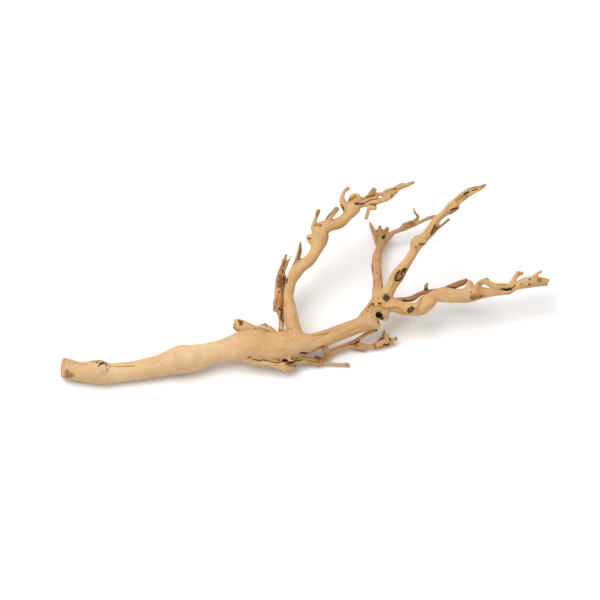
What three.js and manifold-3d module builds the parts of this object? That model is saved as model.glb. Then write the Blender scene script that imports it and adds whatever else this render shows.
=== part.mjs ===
// Fallen tree branch: one dry limb of a small tree, stripped of its bark by weather and sand.
// A crooked trunk runs from a sawn butt to a gnarled burl, where three limbs and a twig part.
// A fourth limb, a split spur and a crooked under twig leave the trunk on the way.
// Millimetres, +Z up, +X from the butt towards the limb tips, origin on the ground.
//
// The branch is laid out flat first: x along it, y across the fan of its limbs, z out of the fan.
// The whole of it then leans up from the ground and rests on the belly near the butt, on the
// knob of the under twig and on the prongs of the back limb.
//
// It grew as one piece, so it is parted only at its main forks.

import * as THREE from "three";
import { mergeVertices } from "three/addons/utils/BufferGeometryUtils.js";
import Module from "manifold-3d";

// Driving dimensions
const LEAN = 30; // degrees that the fan of limbs rises from the ground
const SET_DOWN = [-293.3, -99.8, 16.1]; // puts the outline's middle, at ground level, at the origin
const GAP = 0.3; // between two pieces parted at a fork
const STEP = 7; // between two rings along a run of wood
const SAW_BLOCK = 70; // side of the block that takes a limb off at its fork
const TRUNK_SIDES = 16; // facets around the trunk, the limbs and the twigs
const LIMB_SIDES = 10;
const TWIG_SIDES = 7;

// Each run of wood is a list of [x, y, z, half thickness] along its heart.
const TRUNK = [
  [1.5, 0, 0, 12], [22, -4, 0, 12], [43, -5, 0.5, 14.2], [57, -6.5, 0, 12.2], [72, -5, -1, 11.8],
  [94, -2, -2, 12], [118, 3, -3, 13.5], [141, 10, -3, 17.2], [157, 12, -3, 16.2],
  [177, 17, -3, 13.4], [197, 22, -3, 14], [214, 26, -3, 17.4], [230, 27, -3, 19],
  [246, 26, -4, 17.6], [264, 27, -4, 17.2], [282, 29, -5, 16], [298, 31, -6, 13],
  [313, 34, -7, 10], [330, 40, -8, 8.8], [346, 47, -9, 9], [359, 53, -10, 10.6],
  [370, 61, -11, 13.4], [381, 69, -11, 15.4], [386, 79, -11, 12], [388, 85, -11, 7],
];
const KNUCKLE = [[240, 34, -8, 10], [230, 41, -12, 9], [221, 47, -14, 8], [210, 54, -16, 7]];
const KNUCKLE_LUMP = [[236, 36, -9, 9], [242, 43, -12, 9], [250, 43, -12, 8], [256, 37, -9, 7]];
const UNDER_SLAB = [
  [214, 14, -1, 5], [224, 9, 0, 4.4], [236, 6, 1, 4.2], [248, 4.5, 1, 4.4], [259, 2, 0, 4],
  [268, -1, -1, 3], [274, -3, -2, 1.5],
];
const LEFT_LIMB = [
  [281, 33, -3, 11], [278, 46, -4, 10.4], [276, 56, -6, 9], [275, 65, -8, 8], [274, 76, -11, 7],
  [272, 87, -14, 6.1], [274, 97, -16, 6.3], [278, 107, -18, 7], [287, 120, -19, 7.9],
  [297, 129, -20, 7.6], [304, 140, -20, 7], [309, 154, -21, 9.6], [313, 167, -21, 9],
  [322, 174, -21, 7.4], [334, 177, -22, 5.8], [342, 185, -22, 6.2], [350, 197, -23, 8.6],
  [362, 202, -24, 6.6], [376, 205, -25, 6.6], [388, 208, -25, 5.8], [398, 212, -26, 5.4],
  [406, 218, -26, 4.2], [415, 221, -26, 2.8], [424, 225, -26, 1.4],
];
const LEFT_SPURS = [
  [[287, 124, -17, 3.4], [285, 131, -14, 2.8], [285, 142, -12, 2.6], [287, 152, -12, 1.5]],
  [[306, 168, -19, 3.4], [304, 176, -18, 2.8], [306, 184, -17, 2.4], [309, 190, -17, 1.3]],
  [[316, 172, -19, 3.4], [320, 182, -17, 2.8], [325, 188, -16, 2.6], [332, 194, -16, 1.6]],
  [[342, 192, -21, 4], [338, 201, -20, 3], [337, 209, -19, 2.6], [341, 216, -19, 1.8],
    [346, 219, -19, 1]],
  [[362, 202, -22, 4], [367, 208, -20, 3], [378, 217, -19, 1.2]],
];
const SPLIT_SPUR = [
  [266, 32, -8, 6], [264, 44, -11, 5], [263, 54, -14, 4.2], [262, 63, -18, 4.4],
  [259, 73, -21, 5.8], [260, 83, -23, 5.6], [260, 94, -24, 5.5], [263, 106, -26, 7],
  [263, 115, -26, 4.4], [267, 126, -26, 4.4], [270, 135, -26, 4.4], [272, 138, -26, 2],
];
const BACK_LIMB = [
  [379, 72, -12, 9], [381, 84, -16, 8], [380, 94, -24, 6.6], [381, 106, -36, 6.2],
  [381, 116, -48, 5.9], [380, 125, -59, 5.9], [381, 135, -71, 5.8], [384, 145, -82, 4.8],
  [386, 154, -92, 6.2], [387, 166, -105, 5], [387, 175, -115.6, 3.6],
];
const BACK_TWIGS = [
  [[384, 152, -90, 4.5], [379, 165, -103, 2.6], [376, 175, -112, 2.2], [374, 183, -119, 1.2]],
  [[387, 158, -96, 4], [392, 166, -103, 2.8], [397, 172, -110, 1.8]],
  [[386, 153, -91, 5], [394, 161, -92, 4.2], [404, 166, -92, 3.4], [411, 169, -90, 2.9],
    [417, 174, -88, 3.9], [424, 176, -86, 3.4], [431, 177, -84, 2.3], [439, 180, -82, 2.3],
    [446, 185, -81, 2.3], [453, 187, -80, 1.3]],
  [[425, 176, -86, 2.8], [431, 183, -85, 1.9], [434, 187, -84, 1.8], [428, 197, -83, 1]],
];
const CENTRE_LIMB = [
  [381, 72, -10, 10], [387, 84, -9, 10], [394, 97, -7, 7.7], [402, 109, -4, 8],
  [407, 119, -1, 7.2], [413, 129, 2, 5.4], [421, 140, 4, 5.8], [427, 149, 6, 7.2],
  [434, 157, 7, 5.7], [443, 165, 8, 6], [448, 175, 10, 5.4], [456, 183, 11, 4.2],
  [465, 192, 13, 6.4], [473, 199, 15, 5.5], [481, 206, 16, 4.4], [489, 211, 18, 4],
  [497, 214, 19, 3], [507, 219, 20, 1.2],
];
const CENTRE_SPUR = [[443, 165, 9, 4.5], [449, 169, 11, 2.6], [457, 174, 12, 2], [464, 179, 13, 1.1]];
const RIGHT_LIMB = [
  [384, 72, -11, 11], [393, 76, -10, 10], [402, 75, -10, 8.2], [411, 72, -10, 8],
  [421, 71, -10, 8.3], [431, 73, -10, 8.6], [440, 80, -11, 8.8], [449, 86, -12, 7.2],
  [460, 88, -12, 8.5], [472, 86, -13, 8], [485, 88, -14, 8.8], [497, 91, -14, 9],
  [508, 91, -15, 6], [521, 92, -15, 5.8], [533, 94, -16, 6], [543, 98, -17, 5.6],
  [554, 101, -18, 6.2], [567, 104, -18, 7.2], [577, 104, -19, 6.2], [587, 103, -20, 3],
];
const RIGHT_SPURS = [
  [[540, 96, -16, 4], [542, 104, -16, 2.8], [545, 110, -15, 2.4], [549, 113, -15, 2],
    [554, 117, -15, 1.2]],
  [[564, 106, -18, 4], [570, 112, -19, 2.6], [578, 118, -20, 1.1]],
  [[482, 90, -14, 5], [489, 99, -14, 4], [492, 104, -14, 2.6]],
];
const RIGHT_BACK_TWIG = [
  [386, 78, -12, 6], [397, 84, -17, 4.4], [406, 84, -21, 3.6], [414, 82, -24, 3.4],
  [423, 84, -26, 3.3], [432, 89, -27, 3.4], [441, 94, -28, 3.4], [451, 96, -28, 3.2],
  [463, 98, -28, 3.1], [472, 100, -27, 3.1], [480, 103, -26, 3.2], [487, 105, -25, 3],
];
const RIGHT_BACK_PRONG = [[434, 90, -27, 3], [437, 96, -26, 2.2], [439, 103, -25, 1.1]];
const UNDER_TWIG = [
  [264, 22, -6, 7], [276, 15, -8, 5.4], [287, 10, -10, 4.2], [298, 8, -12, 3.8],
  [307, 6, -14, 4.1], [315, 10, -16, 4.3], [320, 17, -18, 4], [329, 22, -20, 3.4],
  [340, 25, -21, 3.9], [352, 29, -22, 5.5], [364, 27, -24, 4], [376, 28, -26, 5],
  [386, 30, -27.4, 7.5], [396, 33, -27, 5], [405, 35, -26, 2.6],
];
const UNDER_SPURS = [
  [[385, 34, -27, 4.5], [384, 41, -27, 2.6], [386, 45, -27, 1.3]],
  [[309, 6, -14, 3], [318, 7, -15, 2.2], [330, 5, -16, 2], [346, 3, -16, 1.2]],
  [[352, 28, -22, 4], [357, 35, -21, 2.2], [366, 41, -21, 2], [377, 45, -22, 1.6]],
];

const wasm = await Module();
wasm.setup();

// A closed geometry as a solid that can be joined and cut.
function solid(geometry) {
  const bare = geometry.clone();
  bare.deleteAttribute("normal");
  bare.deleteAttribute("uv");
  const merged = mergeVertices(bare);
  return new wasm.Manifold(new wasm.Mesh({
    numProp: 3,
    vertProperties: new Float32Array(merged.attributes.position.array),
    triVerts: new Uint32Array(merged.index.array),
  }));
}

// The half thickness at one share of the way along a list of stations.
function thicknessAt(stations, share) {
  const at = share * (stations.length - 1);
  const first = Math.min(Math.floor(at), stations.length - 2);
  return THREE.MathUtils.lerp(stations[first][3], stations[first + 1][3], at - first);
}

// The heart line of a run, smooth through its stations.
function heartLine(stations) {
  const points = stations.map(([x, y, z]) => new THREE.Vector3(x, y, z));
  return new THREE.CatmullRomCurve3(points, false, "centripetal");
}

// A run of round wood: a closed cylinder bent along the heart line, as thick as its stations say.
function run(stations, sides) {
  const curve = heartLine(stations);
  const rings = Math.max(2, Math.round(curve.getLength() / STEP));
  const frames = curve.computeFrenetFrames(rings, false);
  const geometry = new THREE.CylinderGeometry(1, 1, 1, sides, rings);
  const position = geometry.attributes.position;
  const vertex = new THREE.Vector3();
  for (let i = 0; i < position.count; i += 1) {
    vertex.fromBufferAttribute(position, i);
    const ring = Math.round((vertex.y + 0.5) * rings);
    const thickness = thicknessAt(stations, curve.getUtoTmapping(ring / rings));
    const bent = curve.getPointAt(ring / rings)
      .addScaledVector(frames.normals[ring], vertex.x * thickness)
      .addScaledVector(frames.binormals[ring], -vertex.z * thickness);
    position.setXYZ(i, bent.x, bent.y, bent.z);
  }
  return solid(geometry);
}

// A run with its side twigs grown onto it.
function grown(stations, sides, twigs = []) {
  return twigs.reduce((wood, twig) => wood.add(run(twig, TWIG_SIDES)), run(stations, sides));
}

// The block that takes a limb off square to its run at one station, set back by an amount.
function sawBlock(stations, station, setBack) {
  const curve = heartLine(stations);
  const share = station / (stations.length - 1);
  const along = curve.getTangent(share);
  const block = new THREE.BoxGeometry(SAW_BLOCK, SAW_BLOCK, SAW_BLOCK);
  const turn = new THREE.Quaternion().setFromUnitVectors(new THREE.Vector3(0, 0, 1), along);
  const centre = curve.getPoint(share).addScaledVector(along, -SAW_BLOCK / 2 - setBack);
  block.applyMatrix4(new THREE.Matrix4().compose(centre, turn, new THREE.Vector3(1, 1, 1)));
  return solid(block);
}

// Parts a limb from its stump, which stays on the trunk.
function partAt(wood, stations, station) {
  return {
    stump: wood.intersect(sawBlock(stations, station, GAP / 2)),
    limb: wood.subtract(sawBlock(stations, station, -GAP / 2)),
  };
}

const limbs = {
  left_limb: partAt(grown(LEFT_LIMB, LIMB_SIDES, LEFT_SPURS), LEFT_LIMB, 3),
  split_spur: partAt(grown(SPLIT_SPUR, LIMB_SIDES), SPLIT_SPUR, 2),
  back_limb: partAt(grown(BACK_LIMB, LIMB_SIDES, BACK_TWIGS), BACK_LIMB, 2),
  centre_limb: partAt(grown(CENTRE_LIMB, LIMB_SIDES, [CENTRE_SPUR]), CENTRE_LIMB, 2),
  right_limb: partAt(grown(RIGHT_LIMB, LIMB_SIDES, RIGHT_SPURS), RIGHT_LIMB, 2),
  right_back_twig: partAt(grown(RIGHT_BACK_TWIG, TWIG_SIDES, [RIGHT_BACK_PRONG]), RIGHT_BACK_TWIG, 2),
  under_twig: partAt(grown(UNDER_TWIG, LIMB_SIDES, UNDER_SPURS), UNDER_TWIG, 2),
};

const knuckle = run(KNUCKLE, LIMB_SIDES).add(run(KNUCKLE_LUMP, LIMB_SIDES));
const bareTrunk = run(TRUNK, TRUNK_SIDES).add(knuckle).add(run(UNDER_SLAB, LIMB_SIDES));
const trunk = Object.values(limbs).reduce((wood, { stump }) => wood.add(stump), bareTrunk);

// Dry wood colours: [red, green, blue], then how matt the surface is.
const COLOURS = {
  trunk: ["#e3bd8b", 0.75], left_limb: ["#e2bb8a", 0.75], split_spur: ["#c99f6e", 0.8],
  back_limb: ["#cda376", 0.8], centre_limb: ["#e0b988", 0.75], right_limb: ["#dfb584", 0.75],
  right_back_twig: ["#b98a5e", 0.85], under_twig: ["#c0926a", 0.85],
};

// A named piece of wood.
function piece(name, wood) {
  const { vertProperties, triVerts } = wood.getMesh();
  const geometry = new THREE.BufferGeometry();
  geometry.setAttribute("position", new THREE.BufferAttribute(vertProperties, 3));
  geometry.setIndex(new THREE.BufferAttribute(triVerts, 1));
  geometry.computeVertexNormals();
  const [color, roughness] = COLOURS[name];
  const mesh = new THREE.Mesh(
    geometry,
    new THREE.MeshStandardMaterial({ color, roughness, metalness: 0 }),
  );
  mesh.name = name;
  return mesh;
}

// The fan of limbs, leaned up from the ground.
const fan = new THREE.Group();
fan.rotation.x = THREE.MathUtils.degToRad(LEAN);
fan.add(piece("trunk", trunk));
for (const [name, { limb }] of Object.entries(limbs)) fan.add(piece(name, limb));

const branch = new THREE.Group();
branch.add(fan);
branch.position.set(...SET_DOWN);

export default branch;
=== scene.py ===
import math

import bmesh
import bpy
import numpy as np
from mathutils import Matrix, Vector
from mathutils.bvhtree import BVHTree


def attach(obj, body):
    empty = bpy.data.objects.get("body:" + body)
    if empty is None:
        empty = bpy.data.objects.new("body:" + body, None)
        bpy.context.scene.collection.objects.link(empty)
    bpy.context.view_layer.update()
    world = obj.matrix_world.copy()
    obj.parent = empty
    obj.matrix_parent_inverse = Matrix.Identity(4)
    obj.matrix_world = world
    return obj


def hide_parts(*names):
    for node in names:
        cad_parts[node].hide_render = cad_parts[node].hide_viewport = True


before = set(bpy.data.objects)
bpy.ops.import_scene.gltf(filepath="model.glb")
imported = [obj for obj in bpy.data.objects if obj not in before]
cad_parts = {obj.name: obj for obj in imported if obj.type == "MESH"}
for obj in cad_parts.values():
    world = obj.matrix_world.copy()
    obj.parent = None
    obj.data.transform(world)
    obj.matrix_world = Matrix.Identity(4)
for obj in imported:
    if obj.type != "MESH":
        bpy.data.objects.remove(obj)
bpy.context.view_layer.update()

# How the branch lies, and where it is seen from. It is drawn flat, in millimetres: x along it
# from the sawn butt, y across the fan of its limbs, z out of the fan. The fan then leans up
# from the ground. The camera looks square at it from two metres and takes in 720 mm of it.
LEAN = math.radians(30)
LAID_DOWN = (
    Matrix.Scale(0.001, 4)
    @ Matrix.Translation((-293.3, -99.8, 16.1))
    @ Matrix.Rotation(LEAN, 4, "X")
)
EYE = Vector((285.6, 81.6, 2000))
VIEW_WIDTH = 720
SENSOR_WIDTH = 36


def put(name, data):
    """Puts a new object into the scene."""
    thing = bpy.data.objects.new(name, data)
    bpy.context.collection.objects.link(thing)
    return thing


camera = put("camera", bpy.data.cameras.new("camera"))
camera.data.sensor_width = SENSOR_WIDTH
camera.data.lens = SENSOR_WIDTH * EYE.z / VIEW_WIDTH
camera.matrix_world = Matrix.Translation(LAID_DOWN @ EYE) @ Matrix.Rotation(LEAN, 4, "X")
bpy.context.scene.camera = camera


# ---------------------------------------------------------------------------------------------
# The trunk: a crooked pole of bare, sand-worn wood, sawn off at the butt and swollen to a
# gnarled burl at its other end. It carries a knuckle stub behind, a split slab along its lower
# edge and the stump of every limb. It grew in one with them, and its bark is long gone.

# In millimetres: the voxels that the skin is made of, the thinnest that a run gets, how far a
# neighbour is drawn either side of a limb's cut, and how far off a run still blends in.
VOXEL = 0.65
TRUNK_VOXEL = 0.82
THINNEST = 0.8
STUMP_REACH = 32
BLEND_REACH = 12

# How fast one run gives way to the next, how many of its radii the cut of a limb reaches, the
# steps and the sides of a run's rings, and how many points are looked up at a time.
BLEND = 0.7
SAW_REACH = 1.9
RING_STEP = 2
RING_SIDES = 20
BATCH = 8192
COLOURS = "dark", "amber", "brown", "grey", "pink"


class Run:
    """A run of wood through stations of x, y, z and radius, kept for about each millimetre."""

    def __init__(self, seed, stations, parent=None, aged=None):
        self.seed = seed
        self.aged = parent.aged if aged is None else aged
        ends = np.array(stations, float)
        ends = np.vstack([2 * ends[0] - ends[1], ends, 2 * ends[-1] - ends[-2]])
        rows, self.stations = [], [0]
        for before, here, there, after in zip(ends, ends[1:], ends[2:], ends[3:]):
            steps = max(2, round(float(np.linalg.norm((there - here)[:3]))))
            share = np.linspace(0, 1, steps, endpoint=False)[:, None]
            rise = (2 * before - 5 * here + 4 * there - after) * share**2
            bend = (3 * here - before - 3 * there + after) * share**3
            rows.append(0.5 * (2 * here + (there - before) * share + rise + bend))
            self.stations.append(self.stations[-1] + steps)
        line = np.vstack([*rows, ends[-2:-1]])
        self.place = line[:, :3]
        self.thick = np.maximum(line[:, 3], THINNEST)
        ahead = np.gradient(self.place, axis=0)
        self.ahead = ahead / np.linalg.norm(ahead, axis=1)[:, None]
        gaps = np.linalg.norm(np.diff(self.place, axis=0), axis=1)
        self.along = np.concatenate([[0], np.cumsum(gaps)])
        if parent:
            self.along += parent.along[parent.nearest(self.place[:1])[0]]
        front, fronts = np.array((0, 0, 1.0)), []
        for direction in self.ahead:
            front = front - direction * (front @ direction)
            front = front / np.linalg.norm(front)
            fronts.append(front)
        self.front = np.array(fronts)
        self.side = np.cross(self.front, self.ahead)

    def nearest(self, points):
        """The place along the run that each point is nearest to."""
        own = (self.place**2).sum(1)
        found = np.empty(len(points), int)
        for first in range(0, len(points), BATCH):
            some = slice(first, first + BATCH)
            found[some] = (own - 2 * points[some] @ self.place.T).argmin(1)
        return found

    def measure(self, points):
        """How far points are outside the run, and where they are around it and along it."""
        at = self.nearest(points)
        offset = points - self.place[at]
        across = (offset * self.side[at]).sum(1)
        out = (offset * self.front[at]).sum(1)
        scale = self.thick[at] / np.maximum(np.hypot(across, out), 0.3)
        length = self.along[at] + (offset * self.ahead[at]).sum(1)
        around = np.stack([across * scale, out * scale, length], axis=1)
        return np.linalg.norm(offset, axis=1) - self.thick[at], around

    def ring(self, i):
        """Where a circle of radius one goes at one place along the run."""
        axes = Matrix((self.side[i], self.ahead[i], self.front[i])).transposed().to_4x4()
        face = Matrix.Rotation(math.radians(-90), 4, "X")
        size = Matrix.Scale(self.thick[i], 4)
        return Matrix.Translation(self.place[i]) @ axes @ face @ size

    def draw(self, bm, places):
        """Draws a closed tube along a stretch of the run, ring by ring."""
        rings = [self.ring(i) for i in (*places[:-1:RING_STEP], places[-1])]
        first = bmesh.ops.create_circle(
            bm, cap_ends=True, segments=RING_SIDES, radius=1, matrix=rings[0]
        )
        cap = first["verts"][0].link_faces[0]
        for here, there in zip(rings, rings[1:]):
            made = bmesh.ops.extrude_face_region(bm, geom=[cap])["geom"]
            cap = next(part for part in made if isinstance(part, bmesh.types.BMFace))
            bmesh.ops.transform(bm, matrix=there @ here.inverted(), verts=cap.verts)


def offshoots(seed, parent, lines, step=7):
    """The runs that grow out of another one, each with a seed of its own."""
    return [Run(seed + step * i, line, parent) for i, line in enumerate(lines)]


def noise(at, seed):
    """Smooth random numbers from -1 to 1 that change over about one unit of the places given.

    The corners of each cell of one unit get their numbers from a hash of their places.
    """
    cell = np.floor(at).astype(np.int64)
    part = at - cell
    part = part * part * (3 - 2 * part)
    total = np.zeros(len(at))
    for corner in np.ndindex(2, 2, 2):
        x, y, z = (cell + corner).T
        mixed = (x * 374761393 + y * 668265263 + z * 1442695041 + seed * 974634777) & 0xFFFFFFFF
        mixed = ((mixed ^ (mixed >> 13)) * 1103515245) & 0xFFFFFFFF
        mixed = ((mixed ^ (mixed >> 16)) * 69069) & 0xFFFFFFFF
        value = ((mixed ^ (mixed >> 15)) & 0xFFFF) / 32767.5 - 1
        total += np.prod(np.where(corner, part, 1 - part), axis=1) * value
    return total


def falling(value, start, end):
    """One up to the start, then smoothly down to zero at the end."""
    share = np.clip((value - start) / (end - start), 0, 1)
    return 1 - share * share * (3 - 2 * share)


class Wood:
    """A piece of wood: its skin, the grain in it, and the marks that it carries."""

    def __init__(self, runs, onto=(), cut=None, voxel=VOXEL):
        """Grows one skin over the runs, and over the parts of others near the cut of a limb."""
        self.runs, self.cut, self.voxel = [*runs, *onto], cut, voxel
        bm = bmesh.new()
        for run in runs:
            run.draw(bm, range(len(run.place)))
        for run in onto:
            gap = np.linalg.norm(run.place - cut.place[cut.saw], axis=1)
            close = np.flatnonzero(gap < STUMP_REACH)
            if len(close) > 3:
                run.draw(bm, range(close[0], close[-1] + 1))
        rings = bpy.data.meshes.new("rings")
        bm.to_mesh(rings)
        bm.free()
        rough = put("rings", rings)
        remesh = rough.modifiers.new("skin", "REMESH")
        remesh.mode = "VOXEL"
        remesh.voxel_size = voxel
        shapes = bpy.context.evaluated_depsgraph_get()
        self.mesh = bpy.data.meshes.new_from_object(rough.evaluated_get(shapes))
        bpy.data.objects.remove(rough)
        bpy.data.meshes.remove(rings)
        self.place = self.read(self.mesh.vertices, "co", 3, np.float32).astype(float)
        self.edges = self.read(self.mesh.edges, "vertices", 2, np.int32)
        self.measure()
        self.fray()
        self.relax(np.clip(3 * self.mixed, 0, 0.9), 12)
        self.relax(np.full(len(self.place), 0.5), 2)
        self.show()
        self.rise = np.zeros(len(self.place))
        self.fields = {colour: np.zeros(len(self.place)) for colour in COLOURS}

    def read(self, items, field, width, kind):
        values = np.empty(len(items) * width, kind)
        items.foreach_get(field, values)
        return values.reshape(-1, width)

    def show(self):
        """Puts the moved points back on the mesh, and finds its directions and its faces."""
        self.mesh.vertices.foreach_set("co", self.place.astype(np.float32).ravel())
        self.mesh.update()
        self.outward = self.read(self.mesh.vertex_normals, "vector", 3, np.float32).astype(float)
        corners = self.read(self.mesh.loops, "vertex_index", 1, np.int32).reshape(-1, 4)
        self.tree = BVHTree.FromPolygons(self.place.tolist(), corners.tolist())

    def measure(self):
        """Shares each point out among the runs it is near, and finds its place in the grain."""
        outside = np.full((len(self.runs), len(self.place)), 99.0)
        self.around = np.zeros((len(self.runs), len(self.place), 3))
        for number, run in enumerate(self.runs):
            reach = run.thick.max() + BLEND_REACH
            low, high = run.place.min(0) - reach, run.place.max(0) + reach
            close = ((self.place > low) & (self.place < high)).all(1)
            if close.any():
                outside[number, close], self.around[number, close] = run.measure(
                    self.place[close]
                )
        share = np.exp(-BLEND * (outside - outside.min(0)))
        self.share = share / share.sum(0)
        self.owner = self.share.argmax(0)
        self.mixed = 1 - self.share.max(0)
        self.grain = (self.share[:, :, None] * self.around).sum(0)

    def fray(self):
        """Breaks the free ends of the runs off raggedly, along their fibres."""
        for number, run in enumerate(self.runs):
            end = (self.owner == number) & (self.around[number, :, 2] > run.along[-1] - 0.4)
            if not end.any():
                continue
            offset = self.place[end] - run.place[-1]
            across = np.column_stack(
                [offset @ run.side[-1] / 1.5, offset @ run.front[-1] / 1.5, np.zeros(end.sum())]
            )
            ragged = noise(across, run.seed) * min(2.2, 0.6 * run.thick[-1])
            self.place[end] += ragged[:, None] * run.ahead[-1]

    def relax(self, strength, rounds):
        """Eases points towards their neighbours, each as strongly as it is told."""
        moving = strength > 0.01
        one, other = self.edges[moving[self.edges].any(1)].T
        size = len(self.place)
        count = np.bincount(one, minlength=size) + np.bincount(other, minlength=size)
        count = np.maximum(count, 1)
        for _ in range(rounds):
            for axis in range(3):
                values = self.place[:, axis]
                total = np.bincount(one, values[other], size)
                total += np.bincount(other, values[one], size)
                values[moving] += (strength * (total / count - values))[moving]

    def along_runs(self, pattern):
        """A pattern drawn along each run, faded from one run into the next."""
        total = np.zeros(len(self.place))
        for run, share, around in zip(self.runs, self.share, self.around):
            near = share > 0.01
            if near.any():
                total[near] += share[near] * pattern(around[near], run.seed)
        return total

    def mark(self, points, radius, **look):
        """Marks the skin along a line of points, given as they are seen from the front."""
        line = [Vector((*point, 0)) for point in points]
        spots = [line[0]]
        for here, there in zip(line, line[1:]):
            steps = max(1, math.ceil((there - here).length))
            spots += [here.lerp(there, i / steps) for i in range(1, steps + 1)]
        hits = [self.tree.ray_cast(EYE, (spot - EYE).normalized())[0] for spot in spots]
        hits = [hit for hit in hits if hit is not None]
        if hits:
            self.stain(np.array(hits), radius, **look)

    def marks(self, *rows):
        """Marks the skin row by row: radius, sink, dark, brown, a line, and any more looks."""
        for radius, sink, dark, brown, *line in rows:
            more = line.pop() if isinstance(line[-1], dict) else {}
            self.mark(line, radius, sink=sink, dark=dark, brown=brown, **more)

    def stain(self, hits, radius, sink=0, swell=0, ring=0, rough=0.35, **colours):
        """Sinks, swells and colours the skin near some points of it: the disc, or its ring."""
        reach = 3 * radius
        close = ((self.place > hits.min(0) - reach) & (self.place < hits.max(0) + reach)).all(1)
        close = np.flatnonzero(close)
        places = self.place[close]
        gaps = np.linalg.norm(places[:, None] - hits[None], axis=2).min(1) / radius
        gaps += rough * noise(places / (0.8 * radius), 5) + 0.5 * rough * noise(places / 0.9, 6)
        disc, halo = falling(gaps, 0.6, 1.2), falling(gaps, 0.9, 1.7)
        rim = np.exp(-(((gaps - 0.8) / 0.5) ** 2))
        inside = (1 - ring) * disc * (0.8 + 0.5 * noise(places / 1.1, 7))
        line = np.clip(np.maximum(rim, inside), 0, 1) if ring else disc
        self.rise[close] += swell * np.exp(-((gaps / 1.5) ** 2)) - sink * line
        shapes = {"dark": line, "brown": np.maximum(disc, 0.7 * halo), "pink": halo}
        for colour, strength in colours.items():
            field = self.fields[colour]
            field[close] = np.maximum(field[close], strength * shapes.get(colour, disc))

    def knots_behind(self, count, seed):
        """Scatters knots and pits over the side that faces the ground."""
        choice = np.random.default_rng(seed)
        hidden = np.flatnonzero((self.outward[:, 2] < -0.35) & (self.mixed < 0.2))
        for spot in choice.choice(hidden, count):
            hit = self.place[spot : spot + 1]
            size = choice.uniform(0.6, 1.3)
            thick = self.runs[self.owner[spot]].thick.mean()
            radius = min(3.4, 0.35 * thick) * size
            if choice.random() < 0.5:
                self.stain(hit, radius, sink=0.7, swell=0.9, dark=0.7, brown=0.6, ring=0.5)
            else:
                self.stain(hit, 0.5 * radius, sink=0.9, dark=0.9, brown=0.4)

    def weather(self, ridges, lumps, clear=(3, 22)):
        """Raises the grain and the lumps of the wood by so many millimetres, under its marks."""

        def bent(around, seed):
            slow = around / (14, 14, 30)
            swing = np.stack([noise(slow, seed), noise(slow, seed + 1)], axis=1)
            return np.column_stack([around[:, :2] + 2.2 * swing, around[:, 2]])

        def grain(around, seed):
            bending = bent(around, seed)
            broad = np.minimum(np.abs(noise(bending / (3.6, 3.6, 70), seed + 2)) / 0.35, 1)
            fine = np.minimum(np.abs(noise(bending / (2.1, 2.1, 40), seed + 3)) / 0.3, 1)
            return 0.6 * broad + 0.4 * fine - 0.75

        def lump(around, seed):
            big, small = around / (11, 11, 17), around / (5, 5, 8)
            return noise(big, seed + 4) + 0.4 * noise(small, seed + 5)

        length = self.grain[:, 2]
        furrow = np.interp(length, *zip(*ridges)) * self.along_runs(grain)
        away = 1 - falling(trunk_run.measure(self.place)[0], *clear)
        limb = 0.4 * (1 - falling(length, 200, 300))
        twig = sum(run.aged * share for run, share in zip(self.runs, self.share))
        self.rise += furrow
        self.rise += np.interp(length, *zip(*lumps)) * self.along_runs(lump)
        self.place += self.outward * self.rise[:, None]
        # The eased skin only measures how far each point is sunk in or stands out, for painted
        # shade in hollows and a painted highlight on bulges; the points are then put back.
        flat = self.place.copy()
        self.relax(np.full(len(self.place), 0.6), 10)
        curvature_shading = ((self.place - flat) * self.outward).sum(1)
        self.fields |= {
            "furrow": furrow, "curvature_shading": curvature_shading, "age": limb + away * np.maximum(twig - limb, 0)
        }
        self.place = flat
        self.show()

    def saw(self, bm, spot, square, reach):
        """Parts the skin along a flat cut, as far from its middle as it reaches."""
        spot, square = Vector(spot), Vector(square)
        close = set()
        for vert in bm.verts:
            offset = vert.co - spot
            if offset.length < reach and abs(offset.dot(square)) < 4 * self.voxel:
                close.add(vert)
        faces = [face for face in bm.faces if close.issuperset(face.verts)]
        edges = {edge for face in faces for edge in face.edges}
        made = bmesh.ops.bisect_plane(
            bm, geom=[*close, *edges, *faces], dist=1e-4, plane_co=spot, plane_no=square
        )
        line = [part for part in made["geom_cut"] if isinstance(part, bmesh.types.BMEdge)]
        bmesh.ops.split_edges(bm, edges=line)

    def finish(self, name, material, slot, cuts=(), start=-1):
        """Saws the piece off, keeps the part of it round a start, and lays that in its place."""
        for title, values in self.fields.items():
            layer = self.mesh.attributes.new(title, "FLOAT", "POINT")
            layer.data.foreach_set("value", values.astype(np.float32))
        layer = self.mesh.attributes.new("grain", "FLOAT_VECTOR", "POINT")
        layer.data.foreach_set("vector", self.grain.astype(np.float32).ravel())
        bm = bmesh.new()
        bm.from_mesh(self.mesh)
        for line in [saw_line(self.cut)] if self.cut else cuts:
            self.saw(bm, *line)
        start = Vector(self.runs[0].place[start])
        newest = [min(bm.verts, key=lambda vert: (vert.co - start).length_squared)]
        kept = set(newest)
        while newest:
            vert = newest.pop()
            others = {edge.other_vert(vert) for edge in vert.link_edges} - kept
            kept |= others
            newest += others
        gone = [vert for vert in bm.verts if vert not in kept]
        bmesh.ops.delete(bm, geom=gone, context="VERTS")
        rims = [edge for edge in bm.edges if edge.is_boundary]
        for face in bm.faces:
            face.smooth = True
        for edge in rims:
            edge.smooth = False
        caps = bmesh.ops.holes_fill(bm, edges=rims, sides=0)["faces"]
        for face in caps:
            face.smooth = False
            face.material_index = 1
        bmesh.ops.triangulate(bm, faces=caps)
        bm.transform(LAID_DOWN)
        mesh = bpy.data.meshes.new(name)
        bm.to_mesh(mesh)
        bm.free()
        bpy.data.meshes.remove(self.mesh)
        piece = put(name, mesh)
        mesh.materials.append(material)
        mesh.materials.append(SAWN)
        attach(piece, "root")
        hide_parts(name)


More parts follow.
